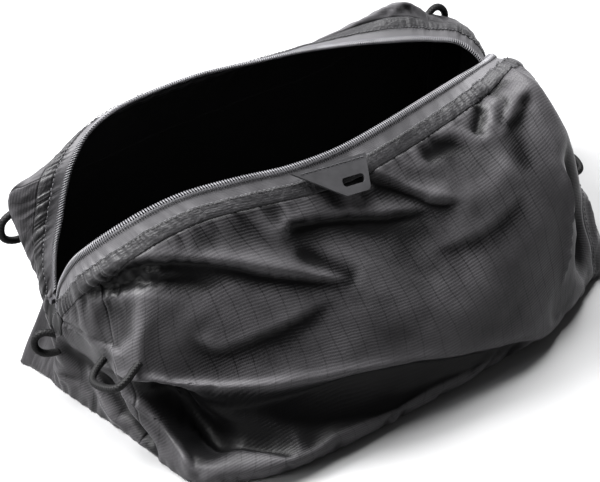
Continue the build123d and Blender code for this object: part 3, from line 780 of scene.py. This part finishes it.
def casing_lift(columns, rows):
    """The casing is a puckered tube, sewn flat along both edges."""
    across = (band_down[columns][:, rows] - TAPE_MM) / (CASING_MM - TAPE_MM)
    big, small, _ = gather_waves(band_share[columns][:, rows])
    crown = np.clip(np.sin(np.clip(across, 0, 1) * np.pi), 0, 1) ** 0.6
    return 0.08 + crown * (0.5 + 0.3 * small) + 0.08 * small


def flat_lift(amount):
    return lambda columns, rows: np.full((len(columns), rows.stop - rows.start), amount)


for side, span in (("front", FRONT_SIDE), ("back", BACK_SIDE)):
    tape, casing, elastic = f"zip_tape_{side}", f"zip_casing_{side}", f"casing_elastic_{side}"
    cased = (casing_cloth, lining)
    band_strip(tape + "_cloth", span, 0, TAPE_ROWS, flat_lift(0.0), 0.7, (tape_cloth, lining), [tape])
    band_strip(casing + "_cloth", span, TAPE_ROWS - 1, CASING_ROW, casing_lift, 0.5, cased, [casing])
    first, last = TAPE_ROWS + 1, CASING_ROW - 3
    stretchy = (elastic_cloth, elastic_cloth)
    band_strip(elastic + "_band", span, first, last, flat_lift(0.2), 0.9, stretchy, [elastic])

# ---------- coils
TOOTH_PITCH, WIRE = 1.5, 0.4
# one turn of the coil round the tape's edge: how far inward and outward each point is
TOOTH = ((-2.2, 0.35), (-0.6, 0.75), (1.0, 0.7), (1.9, -0.1), (1.0, -0.9), (-0.8, -1.2))


def tube(points, radius, sides, close_ends=True):
    """Points and faces of a round tube; radius may differ from point to point."""
    points = np.asarray(points, float)
    tangent = np.gradient(points, axis=0)
    tangent /= np.linalg.norm(tangent, axis=1, keepdims=True)
    helper = np.array([0.31, 0.17, 0.93]) if abs(tangent[0][2]) < 0.8 else np.array([0.9, 0.3, 0.1])
    frames = []
    across = np.cross(tangent[0], helper)
    for t in tangent:
        across = across - t * np.dot(across, t)
        across /= np.linalg.norm(across)
        frames.append((across, np.cross(t, across)))
    radius = np.asarray(radius, float)
    if radius.ndim == 1:
        radius = radius[:, None]
    radius = np.broadcast_to(radius, (len(points), sides))
    angle = np.arange(sides) * 2 * np.pi / sides
    cosine, sine = np.cos(angle)[:, None], np.sin(angle)[:, None]
    rings = [p + r[:, None] * (cosine * a + sine * b) for p, r, (a, b) in zip(points, radius, frames)]
    n = len(points)
    faces = [
        [i * sides + j, i * sides + (j + 1) % sides, (i + 1) * sides + (j + 1) % sides, (i + 1) * sides + j]
        for i in range(n - 1)
        for j in range(sides)
    ]
    if close_ends:
        faces.append(list(range(sides))[::-1])
        faces.append([(n - 1) * sides + j for j in range(sides)])
    return np.array(rings).reshape(-1, 3), faces


def copies(name, shapes, material, body="bag"):
    """One object made of many small closed shapes, each points and faces."""
    points, faces, start = [], [], 0
    for p, f in shapes:
        points.append(p)
        faces.extend([[i + start for i in face] for face in f])
        start += len(p)
    return mesh_object(name, np.concatenate(points), faces, None, (material,), body=body)


def even_places(line, pitch):
    """Positions (fractional indices) at an even pitch along a line of points."""
    run = np.concatenate([[0], np.cumsum(np.linalg.norm(np.diff(line, axis=0), axis=1))])
    count = int(run[-1] / pitch)
    return np.interp((np.arange(count) + 0.5) * pitch, run, np.arange(len(line)))


def at_index(grid, places):
    low = np.floor(places).astype(int)
    part = (places - low)[:, None]
    return grid[low] * (1 - part) + grid[np.minimum(low + 1, len(grid) - 1)] * part


for side, span in (("front", FRONT_SIDE), ("back", BACK_SIDE)):
    columns = side_columns((span[0] + 0.15, span[1] - 0.15))
    edge, second, out = band[columns, 0], band[columns, 1], band_normal[columns, 0]
    inward = edge - second
    inward /= np.linalg.norm(inward, axis=1, keepdims=True)
    places = even_places(edge, TOOTH_PITCH)
    shapes = []
    for p, d, n in zip(at_index(edge, places), at_index(inward, places), at_index(out, places)):
        path = [p + d * a + n * b for a, b in TOOTH]
        shapes.append(tube(path, np.array([0.3, WIRE, WIRE, 0.52, WIRE, 0.3]), 6))
    coil = copies(f"zip_coil_{side}_teeth", shapes, coil_plastic)
    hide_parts(f"zip_coil_{side}")


# ---------- finding the fabric's surface
skin = BVHTree.FromPolygons(shell.reshape(-1, 3).tolist(), grid_faces(COLUMNS, shell.shape[1], True).tolist())


def on_skin(start, direction):
    """Where a ray from outside meets the fabric, and the fabric's outward direction there."""
    place, normal, _, _ = skin.ray_cast(Vector(start), Vector(direction).normalized())
    if place is None:
        place, normal, _, _ = skin.find_nearest(Vector(start))
    normal = np.array(normal)
    return np.array(place), normal * -np.sign(np.dot(normal, np.array(direction)))


# ---------- fabric covers over the zip's ends
def cover(name, x_start, toward, top_z, bottom_z, node):
    """A small patch of cloth that lies over the end of the zip, shaped to the fabric under it."""
    nu, nv = 29, 27
    points, normals = np.zeros((nu, nv, 3)), np.zeros((nu, nv, 3))
    for i, y in enumerate(np.linspace(-1, 1, nu)):
        for j, s in enumerate(np.linspace(0, 1, nv)):
            half = 9.0 - 3.2 * s**2
            z = top_z + (bottom_z - top_z) * s
            place, _ = on_skin((x_start, ZIP_END_Y + y * half, z), (toward, 0, 0))
            if abs(place[0] - x_start) > FAR_SIDE:  # the ray went through the open slit
                place = points[i, j - 1] if j else points[i - 1, j]
            points[i, j], normals[i, j] = place, (-toward, 0, 0.2)
    for _ in range(6):
        beside = points[:-2, 1:-1] + points[2:, 1:-1] + points[1:-1, :-2] + points[1:-1, 2:]
        points[1:-1, 1:-1] = 0.25 * beside
    across, down = np.linspace(-1, 1, nu)[:, None], np.linspace(0, 1, nv)[None]
    rise = 1.3 - 0.7 * np.maximum(np.abs(across) ** 4, down**6)
    ripple = 0.25 * np.sin(np.linspace(0, 9, nu))[:, None] * np.linspace(1, 0, nv)[None]
    points = points + normals * (rise + ripple)[..., None]
    if toward < 0:
        points, normals = points[::-1], normals[::-1]
    uv = np.stack([points[..., 1], points[..., 2]], axis=2)
    piece = thin_sheet(name, points, normals, 0.8, uv, (garage_cloth, garage_cloth))
    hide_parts(node)
    return piece


ZIP_END_Y, FAR_SIDE = 39.0, 150.0
cover("zip_garage_left_cloth", -200, 1, 60.0, 44, "zip_garage_left")
cover("zip_garage_right_cloth", 230, -1, 60.0, 44, "zip_garage_right")

# ---------- lash loops
# routes as the loops are drawn, and how far each hangs from there
LOOPS = {
    "loop_back_left": [(-146.0, 76.4, 84.6), (-152.0, 77.4, 84.0), (-159.5, 78.5, 83.5),
     (-166.4, 79.5, 88.0), (-166.4, 79.5, 98.0), (-159.5, 78.5, 102.5), (-152.0, 77.4, 102.0),
     (-146.0, 76.4, 101.6)],
    "loop_back_right": [(172.1, 77.2, 93.3), (177.8, 77.8, 98.3), (179.5, 78.4, 106.4),
     (172.4, 78.4, 113.5), (164.3, 77.8, 111.8), (159.3, 77.2, 106.1)],
    "loop_side_left": [(-154.6, 40.5, 32.2), (-160.8, 45.1, 29.0), (-166.1, 49.3, 33.8),
     (-165.7, 49.3, 42.0), (-159.8, 45.1, 46.1), (-154.0, 40.5, 42.2)],
    "loop_side_right": [(184.8, 40.1, 23.8), (188.4, 43.9, 17.2), (195.9, 47.3, 17.7),
     (200.4, 47.3, 24.5), (197.8, 43.9, 31.6), (190.3, 40.1, 32.2)],
    "loop_front_left": [(-150.0, -29.0, 57.0), (-154.6, -29.5, 54.8), (-161.2, -31.3, 51.5),
     (-167.3, -28.4, 46.6), (-167.3, -7.1, 38.1), (-161.2, -1.6, 39.7), (-154.6, -0.7, 43.4),
     (-150.5, -0.5, 46.0)],
    "loop_front_right": [(171.1, -42.4, 46.0), (178.0, -45.5, 46.0), (186.1, -43.7, 46.0),
     (191.7, -28.7, 46.0), (186.6, -22.1, 46.0), (179.3, -19.9, 46.0)],
}
CORD = 4.4


def smooth_route(name, points):
    """The points that a smooth curve through a cord's route passes, in millimetres."""
    curve = bpy.data.curves.new(name, "CURVE")
    curve.dimensions = "3D"
    curve.resolution_u = 16
    line = curve.splines.new("NURBS")
    line.points.add(len(points) - 1)
    for spot, p in zip(line.points, points):
        spot.co = (p[0] * MM, p[1] * MM, p[2] * MM, 1)
    line.order_u = 3
    line.use_endpoint_u = True
    holder = bpy.data.objects.new(name, curve)
    scene.collection.objects.link(holder)
    mesh = bpy.data.meshes.new_from_object(holder.evaluated_get(bpy.context.evaluated_depsgraph_get()))
    found = np.array([v.co for v in mesh.vertices]) / MM
    bpy.data.objects.remove(holder)
    return found


def braided(name, points, node):
    """A braided cord along points: crossing strands stand out from a round tube."""
    sides, per_mm = 24, 4
    run = np.concatenate([[0], np.cumsum(np.linalg.norm(np.diff(points, axis=0), axis=1))])
    even = np.linspace(0, run[-1], int(run[-1] * per_mm))
    line = np.stack([np.interp(even, run, points[:, k]) for k in range(3)], axis=1)
    angle = np.arange(sides) * 2 * np.pi / sides
    turn = even[:, None] * 2 * np.pi / 11.0
    right = np.cos(6 * (angle[None] + turn))
    left = np.cos(6 * (angle[None] - turn))
    radius = CORD / 2 * (0.90 + 0.11 * np.maximum(right, left))
    rings, faces = tube(line, radius, sides)
    uv = np.stack(np.broadcast_arrays(even[:, None], angle[None] * CORD / 2), axis=2)
    marks = np.maximum(right, left) * 0.5
    piece = mesh_object(name + "_cord", rings, faces, uv, (cord_cloth,), body=name + "_body", marks=marks)
    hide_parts(node)
    return piece, line, run[-1]


SAG = {
    "loop_back_left": (8, -2, 0),
    "loop_back_right": (-2, -1, -3),
    "loop_side_left": (3.5, -2, -3),
    "loop_side_right": (0, 0, 0),
    "loop_front_left": (3, -2, 4),
    "loop_front_right": (-3.5, 3.0, -1.5),
}
for name, route in LOOPS.items():
    points = smooth_route(name + "_route", np.array(route) + np.array(SAG[name]))
    piece, line, length = braided(name, points, name)

# ---------- stitches
def stitches(name, points, normals, length, pitch, thick, body="bag"):
    """Thread stitches on the fabric along a line of points."""
    places = even_places(points, pitch)
    before = at_index(points, np.clip(places - 0.5, 0, None))
    after = at_index(points, np.clip(places + 0.5, None, len(points) - 1.001))
    shapes = []
    for p, a, b, n in zip(at_index(points, places), before, after, at_index(normals, places)):
        way = (b - a) / np.linalg.norm(b - a)
        half = length / 2
        reach, rise, sink = way * half, n * thick * 0.6, n * 0.15
        path = [p - reach - sink, p - way * half * 0.7 + rise, p + way * half * 0.7 + rise, p + reach - sink]
        shapes.append(tube(path, np.array([thick * 0.3, thick * 0.5, thick * 0.5, thick * 0.3]), 6))
    return copies(name, shapes, thread, body)


for side, span in (("front", FRONT_SIDE), ("back", BACK_SIDE)):
    columns = side_columns(span)
    row = TAPE_ROWS - 1
    out = band_normal[columns, row]
    stitches(f"casing_{side}_upper_stitches", band[columns, row] + out * 0.6, out, 1.9, 2.7, 0.5)

i = round(RIGHT_SEAM * PER_SECTION) + 2
stitches("seam_right_stitches", shell[i, CASING_ROW + 2 :], NORMAL[i, CASING_ROW + 2 :], 2.0, 3.0, 0.45)
columns = np.arange(round(REAR_RIGHT * PER_SECTION), round(REAR_LEFT * PER_SECTION) + 1)
stitches("gusset_stitches", shell[columns, SEAM_ROW - 2], NORMAL[columns, SEAM_ROW - 2], 2.0, 3.0, 0.45)

# ---------- CAD pieces that show as they are
for node, material in (
    ("slider_body", dark_metal),
    ("slider_crown", dark_metal),
    ("pull_tab", dark_metal),
    ("hang_tab", tab_rubber),
    ("hang_tab_stitching", thread),
    ("zip_top_stops", dark_metal),
    ("zip_bottom_stop", dark_metal),
):
    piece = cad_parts[node]
    piece.data.materials.clear()
    piece.data.materials.append(material)

# ---------- the studio
def lamp(name, place, target, size, power, tint=(1, 1, 1)):
    light = bpy.data.lights.new(name, "AREA")
    light.shape, light.size, light.energy, light.color = "DISK", size, power, tint
    obj = bpy.data.objects.new(name, light)
    obj.location = place
    obj.rotation_euler = (Vector(place) - Vector(target)).to_track_quat("Z", "Y").to_euler()
    scene.collection.objects.link(obj)
    return obj


MIDDLE = (0.02, -0.02, 0.07)
lamp("key", (-0.75, 0.75, 1.15), MIDDLE, 0.7, 100)
lamp("left", (-1.5, 0.1, 0.8), MIDDLE, 0.6, 12)
lamp("top", (0.15, 0.22, 1.5), MIDDLE, 0.8, 54)
lamp("right", (0.9, 0.5, 1.1), MIDDLE, 0.6, 16)

world = bpy.data.worlds.new("studio")
world.use_nodes = True
world.node_tree.nodes["Background"].inputs[0].default_value = (1, 1, 1, 1)
world.node_tree.nodes["Background"].inputs[1].default_value = 0.15
scene.world = world
scene.view_settings.view_transform = "Standard"

bpy.ops.mesh.primitive_grid_add(x_subdivisions=20, y_subdivisions=20, size=8, location=(0, 0, -0.0006))
ground = bpy.context.object
ground.name = "floor"
paper, tree, surface = new_material("floor_paper", 0.8)
surface.inputs["Base Color"].default_value = (0.24, 0.24, 0.243, 1)
ground.data.materials.append(paper)
